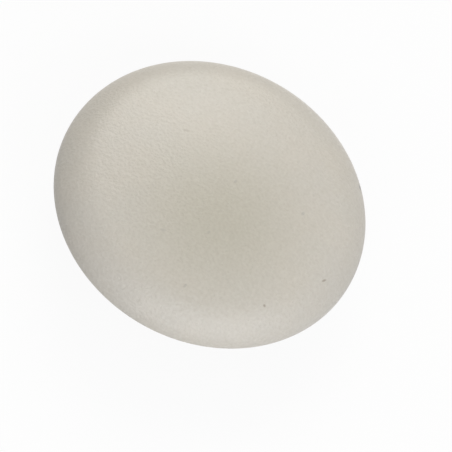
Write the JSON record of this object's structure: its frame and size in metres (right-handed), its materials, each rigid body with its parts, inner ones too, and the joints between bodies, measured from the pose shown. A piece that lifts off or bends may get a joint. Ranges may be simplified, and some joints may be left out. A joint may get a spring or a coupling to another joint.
{
  "type": "screw cover cap",
  "caption": "Low domed round plastic cap with a rounded edge and a tapered cross plug underneath, pushed into a cross-recess screw to hide its head.",
  "frame": {"origin": "middle of the ring foot's flat seat, where the cap meets the board", "axes": "+Z out of the crown, along the cap's own axis; the plug points along -Z and its four wings lie along X and Y"},
  "size_m": [0.012, 0.012, 0.0044],
  "materials": {
    "moulded_plastic": "warm off-white, finely grained from the mould, with a soft low sheen"
  },
  "bodies": {
    "root": {"screw_cap": "moulded_plastic"}
  },
  "joints": []
}
